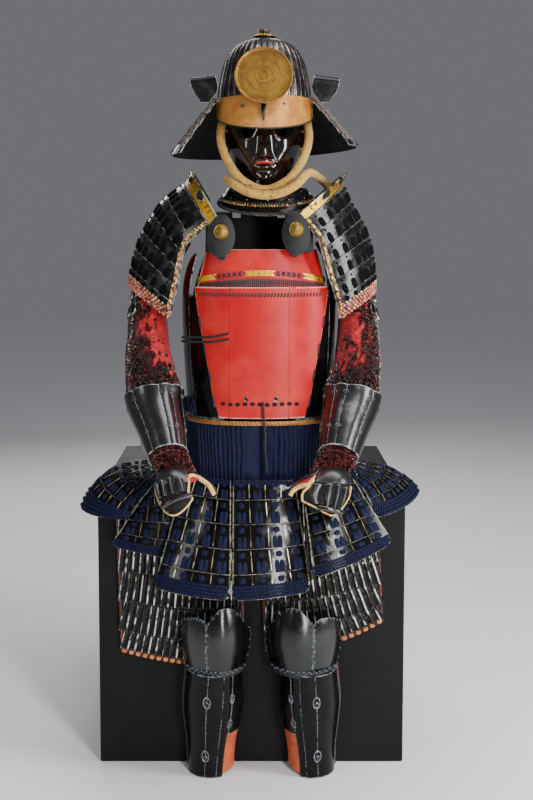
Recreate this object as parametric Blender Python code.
"""Samurai armour sitting at the front edge of its display plinth.

Metres, +Z up, +X to the viewer's right, the armour faces -Y.  The origin is on the floor under the
plinth, below the middle of the armour.  "Left" and "right" are the viewer's.
Every thin piece is a closed wall: an outer face read from a surface function, and an inner face one
thickness behind it.  Laced lames are walls whose face steps outward at the top of each lame.
"""
from math import asin, cos, pi, radians, sin, sqrt

import bmesh
import bpy
from mathutils import Vector

for old_object in list(bpy.data.objects):
    bpy.data.objects.remove(old_object, do_unlink=True)

# ---------------------------------------------------------------- driving sizes
GAP = 0.0003                # clearance between pieces that touch
LAME_STEP = 0.0022          # how far each lame's top edge stands out over the one above
LAME_WALL = 0.0042          # two overlapping leather or iron boards
PLATE_WALL = 0.0030
CLOTH_WALL = 0.0025
CORD_RADIUS = 0.0092        # padded chin cord
THONG_RADIUS = 0.0016

PLINTH_WIDTH = 0.645
PLINTH_DEPTH = 0.560
PLINTH_HEIGHT = 0.580
PLINTH_FRONT = -0.110

TORSO_X = 0.016
TORSO_Y = -0.030
TORSO_SQUARENESS = 2.4      # 2 is an ellipse, more is boxier
HELMET_X = 0.027
HELMET_Y = -0.020
SLEEVE_X = 0.003

# ---------------------------------------------------------------- finishes
# base colour (linear red, green, blue), roughness, metallic
FINISHES = {
    "black_paint": ((0.006, 0.006, 0.008), 0.55, 0.0),
    "black_lacquer": ((0.008, 0.008, 0.010), 0.16, 0.0),
    "brown_lacquer": ((0.014, 0.008, 0.007), 0.12, 0.0),
    "red_lacquer": ((0.50, 0.035, 0.030), 0.32, 0.0),
    "russet_iron": ((0.035, 0.028, 0.028), 0.35, 0.9),
    "worn_gilt": ((0.52, 0.33, 0.09), 0.38, 0.8),
    "gilt_leather": ((0.50, 0.25, 0.08), 0.45, 0.1),
    "navy_lacing": ((0.010, 0.016, 0.070), 0.80, 0.0),
    "cream_cord": ((0.62, 0.46, 0.22), 0.85, 0.0),
    "matt_leather": ((0.030, 0.031, 0.036), 0.70, 0.0),
    "orange_leather": ((0.40, 0.12, 0.04), 0.60, 0.0),
    "red_cloth": ((0.28, 0.015, 0.020), 0.90, 0.0),
}


# ---------------------------------------------------------------- tools
def add_object(name, data, finish):
    """Put a mesh or curve in the scene with a material of its own."""
    colour, roughness, metallic = FINISHES[finish]
    material = bpy.data.materials.new(f"{name}.{finish}")
    material.use_nodes = True
    shader = material.node_tree.nodes["Principled BSDF"]
    shader.inputs["Base Color"].default_value = (*colour, 1.0)
    shader.inputs["Roughness"].default_value = roughness
    shader.inputs["Metallic"].default_value = metallic
    data.materials.append(material)
    piece = bpy.data.objects.new(name, data)
    bpy.context.collection.objects.link(piece)
    return piece


def add_faces(name, points, faces, finish):
    """Make one closed body, its faces turned outward."""
    mesh = bpy.data.meshes.new(name)
    mesh.from_pydata([tuple(point) for point in points], [], faces)
    body = bmesh.new()
    body.from_mesh(mesh)
    bmesh.ops.recalc_face_normals(body, faces=body.faces)
    body.to_mesh(mesh)
    body.free()
    mesh.shade_smooth()
    mesh.set_sharp_from_angle(angle=radians(35))
    return add_object(name, mesh, finish)


def spread(first, last, count):
    """Count values from first to last, evenly."""
    return [first + (last - first) * i / (count - 1) for i in range(count)]


def lerp(a, b, t):
    return a + (b - a) * t


def table_at(table, key, column):
    """Read a column of a table whose first column is the key, on a smooth curve between rows."""
    rows = sorted(table)
    key = min(max(key, rows[0][0]), rows[-1][0])
    upper = next(i for i in range(1, len(rows)) if key <= rows[i][0] or i == len(rows) - 1)
    before = rows[max(upper - 2, 0)][column]
    start, end = rows[upper - 1][column], rows[upper][column]
    after = rows[min(upper + 1, len(rows) - 1)][column]
    t = (key - rows[upper - 1][0]) / (rows[upper][0] - rows[upper - 1][0])
    return 0.5 * (2 * start + (end - before) * t
                  + (2 * before - 5 * start + 4 * end - after) * t ** 2
                  + (3 * start - before - 3 * end + after) * t ** 3)


def smooth_rows(first, last, count):
    """Rows of an unstepped wall: (v, lift) pairs."""
    return [(v, 0.0) for v in spread(first, last, count)]


def lame_rows(first, last, lames):
    """Rows of a stepped wall: each lame stands out at its top edge and closes in at its foot."""
    edges = spread(first, last, lames + 1)
    rows = []
    for top, foot in zip(edges, edges[1:]):
        rows.append((top, LAME_STEP))
        rows.append((foot, 0.0))
    return rows


def wall(name, surface, columns, rows, thickness, finish, around=False, inward=False):
    """Close a thin body behind surface(u, v); `around` joins the last column to the first.

    With v running down and u running toward +X on the front, the outer face looks outward;
    `inward` swaps the two sides for a surface whose u runs the other way.
    """
    small = 1e-4

    def outward(u, v):
        across = surface(u + small, v) - surface(u - small, v)
        down = surface(u, v + small) - surface(u, v - small)
        side = down.cross(across).normalized()
        return -side if inward else side

    outer, inner = [], []
    for v, lift in rows:
        for u in columns:
            point, normal = surface(u, v), outward(u, v)
            outer.append(point + normal * lift)
            inner.append(point + normal * (lift - thickness))
    wide, tall = len(columns), len(rows)
    behind = wide * tall
    faces = []
    for row in range(tall - 1):
        for column in range(wide if around else wide - 1):
            a = row * wide + column
            b = row * wide + (column + 1) % wide
            c, d = b + wide, a + wide
            faces.append((a, b, c, d))
            faces.append((a + behind, d + behind, c + behind, b + behind))
    for column in range(wide if around else wide - 1):
        a, b = column, (column + 1) % wide
        faces.append((a, a + behind, b + behind, b))
        a, b = a + wide * (tall - 1), b + wide * (tall - 1)
        faces.append((a, b, b + behind, a + behind))
    if not around:
        for row in range(tall - 1):
            a, d = row * wide, (row + 1) * wide
            faces.append((a, d, d + behind, a + behind))
            b, c = a + wide - 1, d + wide - 1
            faces.append((b, b + behind, c + behind, c))
    return add_faces(name, outer + inner, faces, finish)


def block(name, low, high, edge, finish):
    """A box between two corners with slightly rounded edges."""
    body = bmesh.new()
    bmesh.ops.create_cube(body, size=1.0)
    low, high = Vector(low), Vector(high)
    for vert in body.verts:
        vert.co = Vector(lerp(low[i], high[i], vert.co[i] + 0.5) for i in range(3))
    bmesh.ops.bevel(body, geom=body.edges[:], offset=edge, segments=2, profile=0.5, affect="EDGES")
    mesh = bpy.data.meshes.new(name)
    body.to_mesh(mesh)
    body.free()
    return add_object(name, mesh, finish)


def turned(name, profile, sides, centre, axis, finish):
    """Turn a profile of (radius, height) about an axis through centre; its ends lie on the axis."""
    axis = Vector(axis).normalized()
    across = axis.orthogonal().normalized()
    along = axis.cross(across)
    points, rings = [], []
    for radius, height in profile:
        foot = Vector(centre) + axis * height
        if radius == 0.0:
            rings.append([len(points)])
            points.append(foot)
            continue
        rings.append(list(range(len(points), len(points) + sides)))
        for i in range(sides):
            angle = 2 * pi * i / sides
            points.append(foot + (across * cos(angle) + along * sin(angle)) * radius)
    faces = []
    for ring, following in zip(rings, rings[1:]):
        for i in range(sides):
            j = (i + 1) % sides
            if len(ring) == 1:
                faces.append((ring[0], following[j], following[i]))
            elif len(following) == 1:
                faces.append((ring[i], ring[j], following[0]))
            else:
                faces.append((ring[i], ring[j], following[j], following[i]))
    return add_faces(name, points, faces, finish)


def smooth_route(route, spacing):
    """Points about `spacing` apart on the smooth curve through a route's own points."""
    route = [Vector(point) for point in route]
    result = [route[0]]
    for i in range(len(route) - 1):
        before, start = route[max(i - 1, 0)], route[i]
        end, after = route[i + 1], route[min(i + 2, len(route) - 1)]
        pieces = max(1, round((end - start).length / spacing))
        for step in range(1, pieces + 1):
            t = step / pieces
            result.append(0.5 * (2 * start + (end - before) * t
                                 + (2 * before - 5 * start + 4 * end - after) * t ** 2
                                 + (3 * start - before - 3 * end + after) * t ** 3))
    return result


def cord(name, route, radius, resolution, finish):
    """A round cord along a smooth route, its ends closed."""
    curve = bpy.data.curves.new(name, "CURVE")
    curve.dimensions = "3D"
    curve.bevel_depth = radius
    curve.bevel_resolution = resolution
    curve.use_fill_caps = True
    points = smooth_route(route, radius * 5)
    spline = curve.splines.new("POLY")
    spline.points.add(len(points) - 1)
    for target, point in zip(spline.points, points):
        target.co = (*point, 1.0)
    return add_object(name, curve, finish)


SIDES = (("left", -1), ("right", 1))


# ---------------------------------------------------------------- plinth and stand
def build_plinth():
    block("plinth", (-PLINTH_WIDTH / 2, PLINTH_FRONT, 0.0),
          (PLINTH_WIDTH / 2, PLINTH_FRONT + PLINTH_DEPTH, PLINTH_HEIGHT), 0.003, "black_paint")


POST_HALF_WIDTH = 0.039
POST_FRONT = -0.020
POST_DEPTH = 0.035
SHOULDER_BOARD = (1.085, 1.157)     # foot and top
SHOULDER_HALF_WIDTH = 0.098
POST_TOP = 1.190


def build_stand():
    """One cross-shaped board stands on the plinth; a turned block on it carries the helmet."""
    foot, top = SHOULDER_BOARD
    half_outline = [
        (POST_HALF_WIDTH, PLINTH_HEIGHT + GAP), (POST_HALF_WIDTH, foot), (SHOULDER_HALF_WIDTH, foot),
        (SHOULDER_HALF_WIDTH, top), (POST_HALF_WIDTH, top), (POST_HALF_WIDTH, POST_TOP)]
    outline = half_outline + [(-x, z) for x, z in reversed(half_outline)]
    count = len(outline)
    points = [(TORSO_X + x, y, z) for y in (POST_FRONT, POST_FRONT + POST_DEPTH) for x, z in outline]
    faces = [tuple(range(count)), tuple(range(2 * count - 1, count - 1, -1))]
    faces += [(i, (i + 1) % count, (i + 1) % count + count, i + count) for i in range(count)]
    add_faces("stand_frame", points, faces, "black_paint")
    head = [(0.0, 0.0), (0.028, 0.0), (0.028, 0.05), (0.040, 0.09), (0.047, 0.15), (0.048, 0.26),
            (0.044, 0.300), (0.036, 0.322), (0.022, 0.332), (0.0, 0.3365)]
    turned("stand_head_block", head, 16, (HELMET_X, HELMET_Y, POST_TOP + GAP), (0, 0, 1),
           "black_paint")


# ---------------------------------------------------------------- helmet
BOWL_RIM = 1.391
BOWL_HALF_WIDTH = 0.0985
BOWL_HALF_LENGTH = 0.117
BOWL_RIBS = 20
RIB_RELIEF = 0.010              # share of the radius
# share of the way from crown to rim, height over the rim, share of the full width
BOWL_SHAPE = (
    (0.00, 0.1410, 0.150),
    (0.13, 0.1310, 0.475),
    (0.26, 0.1170, 0.680),
    (0.42, 0.0950, 0.825),
    (0.60, 0.0680, 0.905),
    (0.80, 0.0350, 0.972),
    (1.00, 0.0000, 1.000),
)


def bowl(u, v):
    fullness = table_at(BOWL_SHAPE, v, 2) * (1 + RIB_RELIEF * cos(BOWL_RIBS * u))
    return Vector((HELMET_X + BOWL_HALF_WIDTH * fullness * sin(u),
                   HELMET_Y - BOWL_HALF_LENGTH * fullness * cos(u),
                   BOWL_RIM + table_at(BOWL_SHAPE, v, 1)))


def build_bowl():
    columns = [2 * pi * i / (2 * BOWL_RIBS) for i in range(2 * BOWL_RIBS)]
    rows = [(row[0], 0.0) for row in BOWL_SHAPE]
    wall("helmet_bowl", bowl, columns, rows, PLATE_WALL, "russet_iron", around=True)
    fitting = [(0.0, 0.0), (0.0255, 0.0), (0.0255, 0.003), (0.012, 0.0065), (0.0095, 0.010),
               (0.0122, 0.0130), (0.0122, 0.0175), (0.0, 0.0175)]
    crown = BOWL_RIM + BOWL_SHAPE[0][1] + GAP
    turned("crown_fitting", fitting, 14, (HELMET_X, HELMET_Y, crown), (0, 0, 1), "russet_iron")


PEAK_TOP = 1.402
PEAK_REACH = 0.052
PEAK_CLEARANCE = 0.0042
PEAK_HALF_ANGLE = radians(84)


def peak(u, v):
    """A crescent that starts upright against the bowl and swings forward as it drops."""
    fade = max(cos(u), 0.0) ** 0.75
    return Vector((HELMET_X + (BOWL_HALF_WIDTH + PEAK_CLEARANCE) * sin(u),
                   HELMET_Y - (BOWL_HALF_LENGTH + PEAK_CLEARANCE) * cos(u)
                   - PEAK_REACH * fade * max(v, 0.0) ** 1.3,
                   PEAK_TOP - (0.024 + 0.048 * fade) * v))


DISC_RADIUS = 0.0580
DISC_CENTRE = (HELMET_X - 0.0030, -0.1600, 1.4365)
DISC_LEAN = 0.20                # backward, metres per metre of height
DISC_THICKNESS = 0.0025
# drop from the disc's centre, y, half width
HOLDER_SHAPE = (
    (0.012, -0.1585, 0.0062),
    (0.050, -0.1660, 0.0062),
    (0.068, -0.1735, 0.0045),
    (0.092, -0.1915, 0.0012),
)


def crest_holder(u, v):
    depth = lerp(HOLDER_SHAPE[0][0], HOLDER_SHAPE[-1][0], v)
    return Vector((DISC_CENTRE[0] + table_at(HOLDER_SHAPE, depth, 2) * u,
                   table_at(HOLDER_SHAPE, depth, 1), DISC_CENTRE[2] - depth))


def build_peak_and_crest():
    wall("peak", peak, spread(-PEAK_HALF_ANGLE, PEAK_HALF_ANGLE, 19), smooth_rows(0, 1, 5),
         PLATE_WALL, "gilt_leather")
    disc = [(0.0, 0.0), (DISC_RADIUS, 0.0), (DISC_RADIUS, DISC_THICKNESS), (0.0, DISC_THICKNESS)]
    turned("crest_disc", disc, 32, DISC_CENTRE, (0, -1, DISC_LEAN), "worn_gilt")
    wall("crest_holder", crest_holder, (-1.0, 1.0), smooth_rows(0, 1, 6), 0.0022, "russet_iron")


TURNBACK_CURL = 0.015
# share of the height, inner edge, outer edge (from the helmet's middle plane)
TURNBACK_SHAPE = (
    (0.00, 0.1040, 0.1500),
    (0.30, 0.1000, 0.1520),
    (0.65, 0.0950, 0.1470),
    (1.00, 0.1130, 0.1300),
)
TURNBACK_SLANT = 0.009          # the roll is lower at its outer end


def turnback(side):
    """A plate facing forward whose upper edge rolls over backward."""
    foot, roll = Vector((0.0, -0.104, 1.389)), Vector((0.0, -0.114, 1.431))

    def surface(u, v):
        reach = lerp(table_at(TURNBACK_SHAPE, v, 1), table_at(TURNBACK_SHAPE, v, 2), u)
        across = Vector((HELMET_X + side * reach, 0.0, -TURNBACK_SLANT * u * (1 - v)))
        if v > 0.45:
            return across + roll.lerp(foot, (v - 0.45) / 0.55)
        turn = radians(160) * (0.45 - v) / 0.45
        return across + Vector((0.0, roll.y + TURNBACK_CURL * (1 - cos(turn)),
                                roll.z + TURNBACK_CURL * sin(turn)))
    return surface


def build_turnbacks():
    rows = [(v, 0.0) for v in (0.0, 0.11, 0.22, 0.33, 0.45, 0.70, 1.0)]
    for name, side in SIDES:
        wall(f"turnback_{name}", turnback(side), spread(0, 1, 4), rows, 0.002, "black_lacquer",
             inward=side < 0)


GUARD_TOP = 1.400
GUARD_DROP = 0.104
GUARD_FLARE = 0.0890
GUARD_LAMES = 4
GUARD_OPENING = radians(60)     # each front end stands this far round from the front


def neck_guard(u, v):
    clear_of_peak = 0.0055 * min(max((cos(u) + 0.35) / 0.6, 0.0), 1.0)
    spread_out = clear_of_peak + GUARD_FLARE * v * (1.08 - 0.08 * v)
    return Vector((HELMET_X + (0.1035 + spread_out) * sin(u),
                   HELMET_Y - (0.1225 + 0.94 * spread_out) * cos(u),
                   GUARD_TOP - (GUARD_DROP - 0.009 * sin(u)) * v))


def build_neck_guard():
    wall("neck_guard", neck_guard, spread(GUARD_OPENING, 2 * pi - GUARD_OPENING, 19),
         lame_rows(0, 1, GUARD_LAMES), LAME_WALL, "black_lacquer")


# ---------------------------------------------------------------- face mask and throat guard
MASK_Y = -0.040
MASK_TOP = 1.352
MASK_FOOT = 1.222
MASK_HALF_ANGLE = radians(98)
# height, half width, depth in front of the mask's middle
MASK_SHAPE = (
    (1.222, 0.034, 0.072),
    (1.236, 0.048, 0.083),
    (1.262, 0.064, 0.088),
    (1.292, 0.075, 0.089),
    (1.322, 0.080, 0.087),
    (1.358, 0.078, 0.083),
)
# height, how far the nose stands out
NOSE_SHAPE = (
    (1.262, 0.0000),
    (1.273, 0.0030),
    (1.280, 0.0180),
    (1.290, 0.0190),
    (1.310, 0.0130),
    (1.332, 0.0080),
    (1.358, 0.0050),
)
NOSE_HALF_WIDTH = 0.0095
EYE_ANGLE = radians(31)
EYE_SPREAD = radians(19)
EYE_DIP = 0.034


def hill(distance, reach):
    """A smooth bump of height 1 that has faded away at about twice its reach."""
    return 2.718281828 ** -((distance / reach) ** 2)


def mask(u, v):
    eye = 2.718281828 ** -(((abs(u) - EYE_ANGLE) / EYE_SPREAD) ** 4)
    height = lerp(MASK_TOP - EYE_DIP * eye, MASK_FOOT, v)
    wide = table_at(MASK_SHAPE, height, 1)
    x = wide * sin(u)
    relief = table_at(NOSE_SHAPE, height, 1) * hill(x, NOSE_HALF_WIDTH)
    relief += 0.0035 * hill(abs(x) - 0.045, 0.016) * hill(height - 1.298, 0.014)
    relief += 0.0050 * hill(x, 0.017) * hill(height - 1.236, 0.011)
    for lip, swell in ((1.2685, 0.0035), (1.2575, 0.0042)):
        relief += swell * hill(x, 0.017) * hill(height - lip, 0.0036)
    return Vector((HELMET_X + x, MASK_Y - table_at(MASK_SHAPE, height, 2) * cos(u) - relief,
                   height))


def build_mask():
    half = [radians(a) for a in (4, 8, 13, 20, 30, 42, 56, 76, 98)]
    columns = [-a for a in reversed(half)] + [0.0] + half
    rows = [(v, 0.0) for v in (0.0, 0.16, 0.32, 0.44, 0.52, 0.58, 0.62, 0.66, 0.71, 0.76, 0.84,
                               0.92, 1.0)]
    wall("mask", mask, columns, rows, CLOTH_WALL, "brown_lacquer")


THROAT_X = 0.033
THROAT_Y = -0.045
THROAT_TOP = 1.2165
THROAT_DROP = 0.057
THROAT_SIDE_RISE = 0.028
THROAT_HALF_ANGLE = radians(104)


def throat_guard(u, v):
    return Vector((THROAT_X + (0.082 + 0.020 * v) * sin(u),
                   THROAT_Y - (0.074 + 0.038 * v) * cos(u),
                   THROAT_TOP - THROAT_DROP * v + THROAT_SIDE_RISE * (1 - cos(u)) * v))


def build_throat_guard():
    wall("throat_guard", throat_guard, spread(-THROAT_HALF_ANGLE, THROAT_HALF_ANGLE, 15),
         lame_rows(0, 1, 3), 0.0036, "black_lacquer")


# The loop hangs from inside the helmet's sides: x from the helmet's middle, y, z.
CHIN_LOOP_HALF = (
    (0.0860, -0.045, 1.372), (0.0895, -0.072, 1.346), (0.0905, -0.094, 1.320),
    (0.0840, -0.112, 1.290), (0.0685, -0.130, 1.258), (0.0430, -0.140, 1.2290),
    (0.0000, -0.1370, 1.2120))
# The tie crosses under the chin and goes back over the right shoulder.
CHIN_TIE = (
    (-0.051, -0.116, 1.235), (-0.034, -0.146, 1.221), (-0.006, -0.157, 1.206),
    (0.027, -0.1600, 1.200), (0.060, -0.161, 1.205), (0.091, -0.155, 1.222),
    (0.116, -0.126, 1.246), (0.141, -0.066, 1.239), (0.162, -0.010, 1.224))


def build_chin_cord():
    right_half = [(HELMET_X + x, y, z) for x, y, z in CHIN_LOOP_HALF]
    left_half = [(HELMET_X - x, y, z) for x, y, z in CHIN_LOOP_HALF[:-1]]
    cord("chin_cord_loop", left_half + right_half[::-1], CORD_RADIUS, 3, "cream_cord")
    cord("chin_cord_tie", CHIN_TIE, CORD_RADIUS, 3, "cream_cord")


# ---------------------------------------------------------------- cuirass
# height, half width, half depth
TORSO_SHAPE = (
    (0.600, 0.150, 0.140),
    (0.737, 0.156, 0.136),
    (0.780, 0.155, 0.134),
    (0.870, 0.160, 0.138),
    (0.970, 0.163, 0.138),
    (1.027, 0.160, 0.132),
    (1.100, 0.140, 0.119),
    (1.150, 0.120, 0.105),
)


def torso(angle, height, lift=0.0):
    """A point on the body's rounded-box section; angle 0 is the front, a quarter turn is +X."""
    power = 2 / TORSO_SQUARENESS
    wide = table_at(TORSO_SHAPE, height, 1) + lift
    deep = table_at(TORSO_SHAPE, height, 2) + lift
    across, ahead = sin(angle), cos(angle)
    x = wide * abs(across) ** power * (1 if across > 0 else -1)
    y = deep * abs(ahead) ** power * (1 if ahead > 0 else -1)
    return Vector((TORSO_X + x, TORSO_Y - y, height))


def torso_at(offset, height, lift=0.0):
    """The point of the front whose x is `offset` from the body's middle plane."""
    wide = table_at(TORSO_SHAPE, height, 1) + lift
    deep = table_at(TORSO_SHAPE, height, 2) + lift
    power = TORSO_SQUARENESS
    y = deep * max(0.0, 1 - abs(offset / wide) ** power) ** (1 / power)
    return Vector((TORSO_X + offset, TORSO_Y - y, height))


CHEST_TOP, CHEST_FOOT = 1.092, 1.000
PANEL_TOP, PANEL_FOOT = 1.016, 0.749
PANEL_LIFT = 0.0052
PANEL_X = 0.005                 # the front's middle plane lies this far right of the body's
# height, half width
PANEL_SHAPE = ((0.749, 0.088), (0.784, 0.100), (1.016, 0.137))
SIDE_TOP, ARMHOLE, DO_FOOT = 0.9985, 0.968, 0.744
FRONT_WING_TOP = 1.084          # the side plate's wing beside the upper chest plate
WING_FROM = 61                  # degrees round from the front
# degrees round from the front, top height
SIDE_TOP_SHAPE = (
    (24, SIDE_TOP), (42, SIDE_TOP), (WING_FROM - 1, SIDE_TOP), (WING_FROM, FRONT_WING_TOP),
    (66, 1.082), (72, 1.075), (79, 1.055), (86, 0.992), (92, ARMHOLE), (98, ARMHOLE))
SIDE_SEAM = radians(98)
BACK_TOP = 1.122


def chest_plate(u, v):
    height = lerp(CHEST_TOP, CHEST_FOOT, v)
    return torso_at(PANEL_X + u * lerp(0.1135, 0.136, v), height)


def front_panel(u, v):
    height = lerp(PANEL_TOP, PANEL_FOOT, v)
    return torso_at(PANEL_X + u * table_at(PANEL_SHAPE, height, 1), height, PANEL_LIFT)


def chest_band(u, v):
    height = 1.0295 + 0.015 * (1 - u * u) + 0.0115 * (0.5 - v)
    return torso_at(PANEL_X + u * 0.131, height, 0.0027)


def side_plate(side):
    def surface(u, v):
        below = next(i for i in range(1, len(SIDE_TOP_SHAPE))
                     if u <= SIDE_TOP_SHAPE[i][0] or i == len(SIDE_TOP_SHAPE) - 1)
        (start, top), (end, next_top) = SIDE_TOP_SHAPE[below - 1], SIDE_TOP_SHAPE[below]
        top = lerp(top, next_top, (u - start) / (end - start))
        return torso(side * radians(u), lerp(top, DO_FOOT, v))
    return surface


def back_plate(u, v):
    angle = lerp(SIDE_SEAM, 2 * pi - SIDE_SEAM, u)
    from_middle = abs(angle - pi)
    rise = min(max((radians(66) - from_middle) / radians(24), 0.0), 1.0)
    top = lerp(ARMHOLE, BACK_TOP, rise * rise * (3 - 2 * rise))
    return torso(angle, lerp(top, DO_FOOT, v))


STRAP_OFFSET = 0.083
STRAP_HALF_WIDTH = 0.026
# share of the way from the back to the front, y, height
STRAP_SHAPE = (
    (0.00, 0.0900, 1.085),
    (0.14, 0.0820, 1.128),
    (0.28, 0.0580, 1.156),
    (0.45, 0.0100, 1.171),
    (0.62, -0.0450, 1.171),
    (0.74, -0.0950, 1.162),
    (0.87, -0.1375, 1.130),
    (1.00, -0.1570, 1.086),
)


def strap(side):
    def surface(u, v):
        return Vector((TORSO_X + side * STRAP_OFFSET + STRAP_HALF_WIDTH * u,
                       table_at(STRAP_SHAPE, v, 1), table_at(STRAP_SHAPE, v, 2)))
    return surface


def build_cuirass():
    wall("upper_chest_plate", chest_plate, spread(-1, 1, 11), smooth_rows(0, 1, 4), PLATE_WALL,
         "red_lacquer")
    wall("chest_band", chest_band, spread(-1, 1, 13), smooth_rows(0, 1, 2), 0.002, "worn_gilt")
    wall("front_panel", front_panel, spread(-1, 1, 11), smooth_rows(0, 1, 6), PLATE_WALL,
         "red_lacquer")
    for name, side in SIDES:
        wall(f"side_plate_{name}", side_plate(side),
             [24, 33, 42, 51, *(row[0] for row in SIDE_TOP_SHAPE[2:-1]), 97.6], smooth_rows(0, 1, 6),
             PLATE_WALL, "black_lacquer", inward=side < 0)
    wall("back_plate", back_plate, spread(0, 1, 17), smooth_rows(0, 1, 6), PLATE_WALL,
         "black_lacquer")
    for name, side in SIDES:
        wall(f"shoulder_strap_{name}", strap(side), (-1.0, 0.0, 1.0),
             [(row[0], 0.0) for row in STRAP_SHAPE], 0.004, "matt_leather")


RIM_TOP, RIM_FOOT = 0.7435, 0.7345
CURTAIN_TOP, CURTAIN_FOOT = 0.7340, 0.6220
CURTAIN_PLEATS = 40
PLEAT_RELIEF = 0.0015


def build_waist():
    """The rim under the cuirass, and the curtain of cords that the tassets hang from."""
    wall("waist_rim", lambda u, v: torso(u, lerp(RIM_TOP, RIM_FOOT, v), 0.0055),
         [2 * pi * i / 32 for i in range(32)], smooth_rows(0, 1, 2), 0.0060, "gilt_leather",
         around=True)
    columns = [2 * pi * (i + 0.5) / (2 * CURTAIN_PLEATS) for i in range(2 * CURTAIN_PLEATS)]
    wall("cord_curtain",
         lambda u, v: torso(u, lerp(CURTAIN_TOP, CURTAIN_FOOT, v),
                            PLEAT_RELIEF * sin(CURTAIN_PLEATS * u)),
         columns, smooth_rows(0, 1, 2), PLATE_WALL, "navy_lacing", around=True)


# ---------------------------------------------------------------- leaf pads
# name, middle x, middle height, lean (x drift toward the foot)
LEAF_PADS = (
    ("left", -0.0610, 1.1190, -0.002),
    ("right", 0.0890, 1.1240, 0.002),
)
LEAF_HALF_WIDTH = 0.0305
LEAF_HALF_HEIGHT = 0.0430
LEAF_Y = -0.1710
BOSS_RADIUS = 0.0155


def build_leaf_pads():
    """Domed plates with a rounded foot, and a gilt boss on the upper half of each."""
    sides, rings = 16, (0.0, 0.55, 1.0)
    for name, x, height, lean in LEAF_PADS:
        points, faces = [], []
        for layer in (0.0, 0.003):
            for ring in rings:
                for i in range(sides if ring else 1):
                    angle = 2 * pi * i / sides
                    across = LEAF_HALF_WIDTH * ring * sin(angle) * (0.93 - 0.07 * cos(angle))
                    up = LEAF_HALF_HEIGHT * ring * cos(angle)
                    dome = 0.004 * (1 - ring * ring)
                    points.append((x + across - lean * up / LEAF_HALF_HEIGHT,
                                   LEAF_Y - dome + layer + 0.12 * up, height + up))
        layer_size = 1 + 2 * sides
        for i in range(sides):
            j = (i + 1) % sides
            for start in (0, layer_size):
                faces.append((start, start + 1 + i, start + 1 + j))
                faces.append((start + 1 + i, start + 1 + sides + i, start + 1 + sides + j,
                              start + 1 + j))
            outer = 1 + sides
            faces.append((outer + i, outer + j, layer_size + outer + j, layer_size + outer + i))
        add_faces(f"leaf_pad_{name}", points, faces, "matt_leather")
        boss = [(0.0, 0.0), (BOSS_RADIUS, 0.0), (BOSS_RADIUS, 0.002), (0.0135, 0.0045),
                (0.009, 0.0070), (0.0, 0.0082)]
        turned(f"boss_{name}", boss, 14, (x + 0.001, LEAF_Y - 0.0040, height + 0.008),
               (0, -1, 0.12), "worn_gilt")


# ---------------------------------------------------------------- tassets
TASSET_LAMES = 5
# name; waist edge from, to; hem from, to (x, y, z each); hem bow; fold over the plinth's
# edge, at the first edge and at the last one
TASSETS = (
    ("front_left", (-0.136, -0.120, 0.625), (-0.0415, -0.182, 0.625),
     (-0.195, -0.238, 0.420), (-0.0415, -0.276, 0.405), 0.014, 0.000, 0.000),
    ("front_right", (-0.0375, -0.182, 0.625), (0.088, -0.176, 0.625),
     (-0.0375, -0.277, 0.405), (0.118, -0.250, 0.416), 0.012, 0.000, 0.000),
    ("fore_left", (-0.205, -0.128, 0.607), (-0.139, -0.112, 0.624),
     (-0.290, -0.168, 0.486), (-0.162, -0.172, 0.460), 0.008, 0.000, 0.000),
    ("fore_right", (0.100, -0.190, 0.632), (0.196, -0.176, 0.643),
     (0.123, -0.290, 0.454), (0.283, -0.225, 0.508), 0.012, 0.000, 0.000),
    ("side_left", (-0.158, 0.005, 0.646), (-0.170, -0.145, 0.647),
     (-0.363, -0.085, 0.549), (-0.253, -0.185, 0.544), 0.027, 0.046, 0.004),
    ("side_right", (0.187, -0.150, 0.643), (0.186, 0.010, 0.642),
     (0.250, -0.190, 0.5475), (0.360, -0.060, 0.578), 0.022, 0.022, 0.022),
    ("back", (0.140, 0.118, 0.634), (-0.104, 0.118, 0.634),
     (0.200, 0.330, 0.592), (-0.165, 0.330, 0.592), 0.030, 0.006, 0.006),
)


def tasset(row):
    """A flared panel ruled between its waist edge and its hem, bowed outward across."""
    name, waist_from, waist_to, hem_from, hem_to, bow, first_fold, last_fold = row
    waist_from, waist_to = Vector(waist_from), Vector(waist_to)
    hem_from, hem_to = Vector(hem_from), Vector(hem_to)
    chord = hem_to - hem_from
    out = Vector((chord.y, -chord.x, 0.0)).normalized()

    def surface(u, v):
        point = waist_from.lerp(waist_to, u).lerp(hem_from.lerp(hem_to, u), v)
        arc = 1 - (2 * u - 1) ** 2
        fold = lerp(first_fold, last_fold, u)
        return (point + out * (bow * arc * (0.35 + 0.65 * v))
                + Vector((0.0, 0.0, fold * 6.75 * v * v * (1 - v))))
    return surface


def build_tassets():
    for row in TASSETS:
        rows = lame_rows(0, 1, TASSET_LAMES)
        wall(f"tasset_{row[0]}", tasset(row), spread(0, 1, 7), rows, LAME_WALL, "navy_lacing")


# ---------------------------------------------------------------- shoulder guards
SODE_LAMES = 6
SODE_TURN = radians(66)
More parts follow.
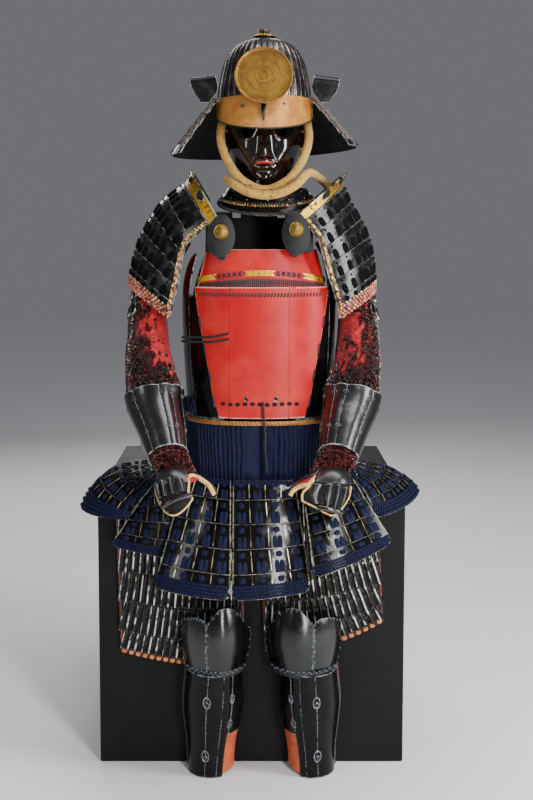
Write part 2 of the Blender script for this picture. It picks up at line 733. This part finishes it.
# share of the way down; crown x, z; front edge x, z
SODE_LEFT = (
    (-0.12, -0.1270, 1.2580, -0.0640, 1.1500),
    (0.00, -0.1430, 1.2280, -0.0850, 1.1390),
    (0.20, -0.1850, 1.1960, -0.1270, 1.1050),
    (0.40, -0.2160, 1.1520, -0.1400, 1.0680),
    (0.60, -0.2380, 1.1080, -0.1470, 1.0280),
    (0.80, -0.2510, 1.0620, -0.1570, 0.9880),
    (1.00, -0.2580, 1.0150, -0.1660, 0.9500),
)
SODE_RIGHT = (
    (-0.12, 0.2000, 1.2520, 0.0950, 1.1640),
    (0.00, 0.1960, 1.2250, 0.1050, 1.1460),
    (0.20, 0.2130, 1.1850, 0.1310, 1.1150),
    (0.40, 0.2380, 1.1400, 0.1440, 1.0760),
    (0.60, 0.2530, 1.0950, 0.1550, 1.0380),
    (0.80, 0.2590, 1.0500, 0.1690, 0.9950),
    (1.00, 0.2600, 1.0020, 0.1790, 0.9500),
)
SODE_FRONT_Y = (-0.160, -0.138)     # front edge at the top and at the foot
SODE_MIDDLE_Y = (-0.012, -0.045)
SODE_BACK_Y = (0.085, 0.060)
SODE_BACK_SHARE = 0.55              # the rear edge stays farther out than the front one


def shoulder_guard(table):
    """An arch over the upper arm: the crown line in the middle, a closing edge in front."""
    def surface(u, v):
        turn = SODE_TURN * u
        share = (1 - cos(turn)) / (1 - cos(SODE_TURN))
        swing = abs(sin(turn) / sin(SODE_TURN))
        crown = Vector((table_at(table, v, 1), 0.0, table_at(table, v, 2)))
        edge = Vector((table_at(table, v, 3), 0.0, table_at(table, v, 4)))
        point = crown.lerp(edge, share if u > 0 else share * SODE_BACK_SHARE)
        end = SODE_FRONT_Y if u > 0 else SODE_BACK_Y
        point.y = lerp(lerp(*SODE_MIDDLE_Y, v), lerp(*end, v), swing)
        return point
    return surface


def build_shoulder_guards():
    for (name, side), table in zip(SIDES, (SODE_LEFT, SODE_RIGHT)):
        surface = shoulder_guard(table)
        columns = spread(-1, 1, 11)
        wall(f"sode_{name}", surface, columns, lame_rows(0, 1, SODE_LAMES), LAME_WALL,
             "black_lacquer", inward=side > 0)
        wall(f"sode_plate_{name}", surface, columns, smooth_rows(-0.115, -0.008, 2), 0.004,
             "worn_gilt", inward=side > 0)


# ---------------------------------------------------------------- sleeves, forearms, hands
# share of the way down, x from the middle, y, z, half width, half depth
ARM_SHAPE = (
    (0.00, 0.1660, -0.012, 1.120, 0.038, 0.042),
    (0.13, 0.1900, -0.020, 1.072, 0.037, 0.042),
    (0.27, 0.2140, -0.042, 1.002, 0.036, 0.044),
    (0.42, 0.2190, -0.078, 0.922, 0.042, 0.047),
    (0.55, 0.2140, -0.112, 0.852, 0.049, 0.048),
    (0.66, 0.2040, -0.134, 0.802, 0.055, 0.048),
    (0.75, 0.1970, -0.158, 0.767, 0.051, 0.046),
    (0.88, 0.1800, -0.203, 0.724, 0.042, 0.040),
    (1.00, 0.1655, -0.248, 0.680, 0.033, 0.032),
)


def arm(side, lift=0.0):
    """The sleeve's outside; angle 0 faces forward, a quarter turn is +X, half a turn the slit."""
    def middle(v):
        return Vector((SLEEVE_X + side * table_at(ARM_SHAPE, v, 1), table_at(ARM_SHAPE, v, 2),
                       table_at(ARM_SHAPE, v, 3)))

    def surface(u, v):
        down = (middle(min(v + 0.02, 1.0)) - middle(max(v - 0.02, 0.0))).normalized()
        across = (Vector((1.0, 0.0, 0.0)) - down * down.x).normalized()
        ahead = down.cross(across).normalized()
        return (middle(v) + across * ((table_at(ARM_SHAPE, v, 4) + lift) * sin(u))
                + ahead * ((table_at(ARM_SHAPE, v, 5) + lift) * cos(u)))
    return surface


SLEEVE_OPENING = radians(8)         # half of the slit down the back, where the sleeve is laced
FOREARM_FROM, FOREARM_TO = 0.672, 0.975
FOREARM_LIFT = 0.0056
FOREARM_HALF_ANGLE = radians(125)
# share of the way from the wrist to the finger tips, y, z, outer half width, inner half
# width with the thumb's lobe, sideways drift
HAND_SHAPE = (
    (0.00, -0.2560, 0.6730, 0.0330, 0.0330, 0.000),
    (0.15, -0.2730, 0.6660, 0.0360, 0.0420, 0.001),
    (0.30, -0.2890, 0.6560, 0.0385, 0.0560, 0.002),
    (0.45, -0.3030, 0.6430, 0.0390, 0.0710, 0.004),
    (0.60, -0.3150, 0.6270, 0.0380, 0.0760, 0.006),
    (0.72, -0.3210, 0.6130, 0.0350, 0.0560, 0.008),
    (0.86, -0.3245, 0.5970, 0.0300, 0.0280, 0.010),
    (1.00, -0.3240, 0.5830, 0.0220, 0.0200, 0.012),
)
HAND_OFFSET = 0.153
HAND_TURN = radians(70)


def hand_guard(side):
    """The domed plate over the back of a hand, bent at the knuckles."""
    def surface(u, v):
        x = SLEEVE_X + side * (HAND_OFFSET - table_at(HAND_SHAPE, v, 5))
        half = table_at(HAND_SHAPE, v, 3 if u * side > 0 else 4)
        dome = 0.020 * (1 - cos(u * HAND_TURN)) / (1 - cos(HAND_TURN))
        slope = Vector((0.0, -0.75, 0.66)).lerp(Vector((0.0, -1.0, 0.0)), v).normalized()
        middle = Vector((x, table_at(HAND_SHAPE, v, 1), table_at(HAND_SHAPE, v, 2)))
        return (middle + Vector((half * sin(u * HAND_TURN) / sin(HAND_TURN), 0.0, 0.0))
                - slope * dome)
    return surface


def build_arms():
    for name, side in SIDES:
        wall(f"sleeve_{name}", arm(side), spread(SLEEVE_OPENING - pi, pi - SLEEVE_OPENING, 17),
             smooth_rows(0, 1, 11), CLOTH_WALL, "red_cloth")
        middle_angle = side * radians(15)
        wall(f"forearm_guard_{name}", arm(side, FOREARM_LIFT),
             spread(middle_angle - FOREARM_HALF_ANGLE, middle_angle + FOREARM_HALF_ANGLE, 13),
             smooth_rows(FOREARM_FROM, FOREARM_TO, 5), PLATE_WALL, "black_lacquer")
        wall(f"hand_guard_{name}", hand_guard(side), spread(-1, 1, 9),
             [(row[0], 0.0) for row in HAND_SHAPE], CLOTH_WALL, "black_lacquer")


# ---------------------------------------------------------------- thigh guards
THIGH_ROWS = 7
THIGH_Y = -0.1215
# name; top edge from x, to x; hem from x, z; hem to x, z; hem sag in the middle
THIGH_GUARDS = (
    ("left", -0.283, -0.020, -0.274, 0.246, -0.016, 0.212, 0.010),
    ("right", 0.016, 0.262, 0.028, 0.246, 0.276, 0.312, 0.022),
)
THIGH_TOP = 0.572


def thigh_guard(row):
    name, top_from, top_to, hem_from_x, hem_from_z, hem_to_x, hem_to_z, sag = row

    def surface(u, v):
        x = lerp(lerp(top_from, top_to, u), lerp(hem_from_x, hem_to_x, u), v)
        foot = lerp(hem_from_z, hem_to_z, u) - sag * (1 - (2 * u - 1) ** 2)
        return Vector((x, THIGH_Y, lerp(THIGH_TOP, foot, v)))
    return surface


def build_thigh_guards():
    for row in THIGH_GUARDS:
        rows = lame_rows(0, 1, THIGH_ROWS)
        wall(f"thigh_guard_{row[0]}", thigh_guard(row), spread(0, 1, 5), rows, 0.0036,
             "matt_leather")


# ---------------------------------------------------------------- shin guards
# height, half width, depth in front of the open back
SHIN_SHAPE = (
    (0.0005, 0.0515, 0.062),
    (0.050, 0.0530, 0.066),
    (0.100, 0.0600, 0.075),
    (0.150, 0.0655, 0.084),
    (0.205, 0.0620, 0.086),
    (0.228, 0.0610, 0.086),
)
SHIN_BACK = -0.124
SHIN_TOP = 0.226
# side, middle x at the foot, middle x at the knee, knee centre x, knee half width
LEGS = (
    ("left", -1, -0.0850, -0.0780, -0.0750, 0.0740),
    ("right", 1, 0.1260, 0.1200, 0.1085, 0.0805),
)
KNEE_FOOT = 0.231
# share of the half width from inner edge to outer edge, top height
KNEE_TOP_SHAPE = (
    (-1.00, 0.300), (-0.95, 0.312), (-0.85, 0.328), (-0.72, 0.347), (-0.53, 0.361),
    (-0.32, 0.3645), (-0.12, 0.360), (0.06, 0.348), (0.17, 0.3375), (0.23, 0.331),
    (0.30, 0.3375), (0.50, 0.342), (0.78, 0.338), (0.92, 0.329), (1.00, 0.320))
SPLINT_RELIEF = 0.020           # share of the radius by which each splint bulges between its seams
SHIN_FOOT = SHIN_SHAPE[0][0]
SPLINT_EDGES = (-0.90, 0.80)    # inner and outer edge, shares of the half circle
LEATHER_FROM = 0.40             # the inner splint is short from here inward
LEATHER_TOP = 0.094
CLOTH_FLARE = 0.008


def shin(leg, lift=0.0, foot=SHIN_FOOT, top=SHIN_TOP, flare=0.0):
    """u runs -1 to 1 from -X to +X around the front; v runs from the knee to the foot."""
    name, side, foot_x, knee_x, _, _ = leg

    def surface(u, v):
        height = lerp(top, foot, v)
        angle = u * radians(90)
        bulge = 1 + SPLINT_RELIEF * abs(sin(1.5 * pi * (u + 1)))
        outer_edge = min(max((side * u - 0.7) / 0.3, 0.0), 1.0)
        wide = table_at(SHIN_SHAPE, height, 1) * bulge + lift + flare * outer_edge
        deep = table_at(SHIN_SHAPE, height, 2) * bulge + lift
        middle = lerp(foot_x, knee_x, height / SHIN_TOP)
        return Vector((middle + wide * sin(angle), SHIN_BACK - deep * cos(angle), height))
    return surface


def shin_guard(leg):
    """The shin with its short inner splint."""
    full, short = shin(leg), shin(leg, foot=LEATHER_TOP)

    def surface(u, v):
        return short(u, v) if -leg[1] * u > LEATHER_FROM + 0.01 else full(u, v)
    return surface


def knee(leg):
    """A domed centre plate on the inner side and a lower plate beside it on the outer side."""
    name, side, _, _, centre, half = leg

    def surface(u, v):
        angle = u * radians(90)
        top = table_at(KNEE_TOP_SHAPE, side * sin(angle), 1)
        height = lerp(top, KNEE_FOOT, v)
        rise = (height - KNEE_FOOT) / (KNEE_TOP_SHAPE[5][1] - KNEE_FOOT)
        swell = 1 - 0.13 * (2 * rise - 0.9) ** 2
        wide = half * swell
        deep = 0.086 * swell + 0.006 * hill(side * sin(angle) + 0.3, 0.4)
        return Vector((centre + wide * sin(angle), SHIN_BACK - deep * cos(angle), height))
    return surface


def build_legs():
    for leg in LEGS:
        name, side = leg[0], leg[1]
        wall(f"shin_cloth_{name}", shin(leg, -0.0070, flare=CLOTH_FLARE), spread(-1.0, 1.0, 13),
             smooth_rows(0.0, 0.99, 4), 0.0014, "red_cloth")
        round_front = [side * u for u in (SPLINT_EDGES[1], 0.667, 0.5, 0.333, 0.167, 0.0, -0.167,
                                          -0.333, -LEATHER_FROM, -LEATHER_FROM - 0.02, -0.55,
                                          -0.667, -0.78, SPLINT_EDGES[0])]
        wall(f"shin_guard_{name}", shin_guard(leg), sorted(round_front), smooth_rows(0, 1, 5),
             PLATE_WALL, "black_lacquer")
        knee_columns = sorted(side * asin(row[0]) / radians(90) for row in KNEE_TOP_SHAPE)
        wall(f"knee_guard_{name}", knee(leg), knee_columns, smooth_rows(0, 1, 5),
             PLATE_WALL, "black_lacquer")
        inner = sorted(-side * u for u in (LEATHER_FROM + 0.03, 0.55, 0.667, 0.78, 0.90))
        wall(f"ankle_leather_{name}", shin(leg, -0.0008, top=LEATHER_TOP - 0.0005), inner,
             smooth_rows(0, 1, 3), 0.0020, "orange_leather")


# ---------------------------------------------------------------- thongs
FRONT_THONG = (
    (0.0235, -0.1742, 0.784), (0.0240, -0.1770, 0.770), (0.0255, -0.1830, 0.745),
    (0.0280, -0.1850, 0.715), (0.0275, -0.1850, 0.690), (0.0300, -0.1850, 0.665),
    (0.0310, -0.1850, 0.642))
SIDE_THONGS = (
    ("upper", ((-0.1420, -0.1300, 0.9120), (-0.1250, -0.1500, 0.9135), (-0.1050, -0.1650, 0.9150),
               (-0.0800, -0.1780, 0.9170), (-0.0460, -0.1850, 0.9240))),
    ("lower", ((-0.1420, -0.1320, 0.9040), (-0.1250, -0.1520, 0.9050), (-0.1050, -0.1670, 0.9060),
               (-0.0800, -0.1800, 0.9070), (-0.0455, -0.1860, 0.9130))),
)


def build_thongs():
    cord("front_thong", FRONT_THONG, THONG_RADIUS, 2, "matt_leather")
    for name, route in SIDE_THONGS:
        cord(f"side_thong_{name}", route, THONG_RADIUS, 2, "matt_leather")


build_plinth()
build_stand()
build_bowl()
build_peak_and_crest()
build_turnbacks()
build_neck_guard()
build_mask()
build_throat_guard()
build_chin_cord()
build_cuirass()
build_waist()
build_leaf_pads()
build_tassets()
build_shoulder_guards()
build_arms()
build_thigh_guards()
build_legs()
build_thongs()
